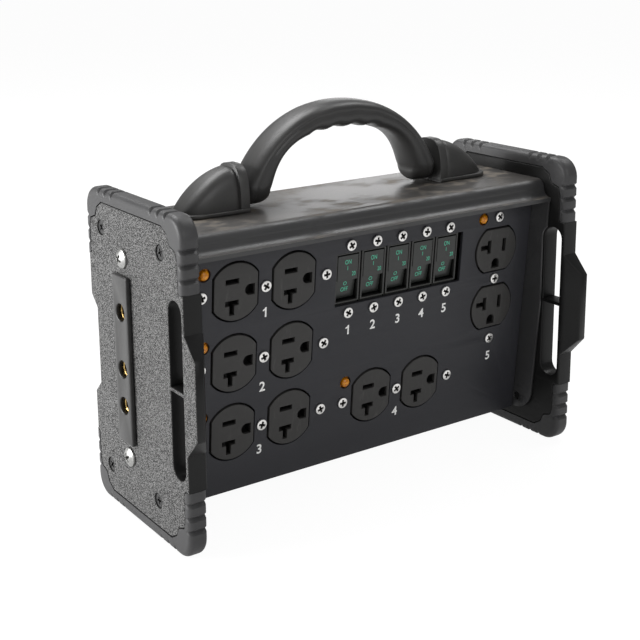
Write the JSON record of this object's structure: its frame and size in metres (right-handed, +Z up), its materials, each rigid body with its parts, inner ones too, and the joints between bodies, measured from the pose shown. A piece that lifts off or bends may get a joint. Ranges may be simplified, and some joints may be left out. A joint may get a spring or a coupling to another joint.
{
  "type": "power distribution box",
  "caption": "Sheet metal box between rubber-bumpered end plates, with duplex outlets and rocker breakers on a leaning panel, pin connectors in the ends and a folding handle.",
  "frame": {"origin": "middle of the footprint, on the floor under the rubber bumpers", "axes": "+X across to the end plate with the inlet pins, +Y to the back, +Z up; the outlets face -Y"},
  "size_m": [0.2932, 0.1246, 0.2333],
  "materials": {
    "housing_paint": "brownish charcoal powder coat, satin to gloss",
    "panel_paint": "black satin paint with white numerals",
    "plate_plastic": "fine grain, mid grey",
    "bumper_rubber": "smooth grey, satin",
    "grip_rubber": "black, satin",
    "mount_plastic": "black moulded, satin",
    "outlet_plastic": "warm black moulded, satin",
    "breaker_plastic": "black moulded, satin",
    "connector_plastic": "black phenolic",
    "nickel": "nickel plate, bright",
    "black_screws": "black oxide",
    "pin_steel": "zinc plate",
    "contact_brass": "turned, bright",
    "bus_copper": "rolled copper bar",
    "amber_lens": "amber moulded lens, clear gloss"
  },
  "bodies": {
    "base": {"housing": "housing_paint", "front_panel": "panel_paint", "end_plate_left": "plate_plastic", "end_plate_right": "plate_plastic", "bumper_left_bottom": "bumper_rubber", "bumper_left_top": "bumper_rubber", "bumper_right_bottom": "bumper_rubber", "bumper_right_top": "bumper_rubber", "outlet_1": "outlet_plastic", "outlet_2": "outlet_plastic", "outlet_3": "outlet_plastic", "outlet_4": "outlet_plastic", "outlet_5": "outlet_plastic", "outlet_strap_1": "nickel", "outlet_strap_2": "nickel", "outlet_strap_3": "nickel", "outlet_strap_4": "nickel", "outlet_strap_5": "nickel", "indicator_lamp_1": "amber_lens", "indicator_lamp_2": "amber_lens", "indicator_lamp_3": "amber_lens", "indicator_lamp_4": "amber_lens", "indicator_lamp_5": "amber_lens", "breaker_1": "breaker_plastic", "breaker_2": "breaker_plastic", "breaker_3": "breaker_plastic", "breaker_4": "breaker_plastic", "breaker_5": "breaker_plastic", "feed_through_block": "connector_plastic", "feed_through_socket_hot": "contact_brass", "feed_through_socket_ground": "contact_brass", "feed_through_socket_neutral": "contact_brass", "inlet_block": "connector_plastic", "inlet_pin_hot": "contact_brass", "inlet_pin_ground": "contact_brass", "inlet_pin_neutral": "contact_brass", "connector_screw_left_high": "nickel", "connector_screw_left_low": "nickel", "connector_screw_right_high": "nickel", "connector_screw_right_low": "nickel", "plate_screw_left_1": "black_screws", "plate_screw_left_2": "black_screws", "plate_screw_left_3": "black_screws", "plate_screw_left_4": "black_screws", "plate_screw_right_1": "black_screws", "plate_screw_right_2": "black_screws", "plate_screw_right_3": "black_screws", "plate_screw_right_4": "black_screws", "handle_mount_left": "mount_plastic", "handle_mount_right": "mount_plastic", "pivot_pin_left": "pin_steel", "pivot_pin_right": "pin_steel", "hot_bus": "bus_copper", "neutral_bus": "bus_copper"},
    "handle": {"handle_grip": "grip_rubber"},
    "switch_1": {"rocker_1": "breaker_plastic"},
    "switch_2": {"rocker_2": "breaker_plastic"},
    "switch_3": {"rocker_3": "breaker_plastic"},
    "switch_4": {"rocker_4": "breaker_plastic"},
    "switch_5": {"rocker_5": "breaker_plastic"}
  },
  "joints": [
    {"name": "handle_swing", "type": "hinge", "parent": "base", "child": "handle", "pos_m": [0, 0.012, 0.1893], "axis": [1, 0, 0], "range_deg": [-90, 90]},
    {"name": "switch_1_tilt", "type": "hinge", "parent": "base", "child": "switch_1", "pos_m": [-0.0162, -0.01558, 0.13118], "axis": [-1, 0, 0], "range_deg": [0, 13]},
    {"name": "switch_2_tilt", "type": "hinge", "parent": "base", "child": "switch_2", "pos_m": [0.00285, -0.01558, 0.13118], "axis": [-1, 0, 0], "range_deg": [0, 13]},
    {"name": "switch_3_tilt", "type": "hinge", "parent": "base", "child": "switch_3", "pos_m": [0.0219, -0.01558, 0.13118], "axis": [-1, 0, 0], "range_deg": [0, 13]},
    {"name": "switch_4_tilt", "type": "hinge", "parent": "base", "child": "switch_4", "pos_m": [0.04095, -0.01558, 0.13118], "axis": [-1, 0, 0], "range_deg": [0, 13]},
    {"name": "switch_5_tilt", "type": "hinge", "parent": "base", "child": "switch_5", "pos_m": [0.06, -0.01558, 0.13118], "axis": [-1, 0, 0], "range_deg": [0, 13]}
  ]
}
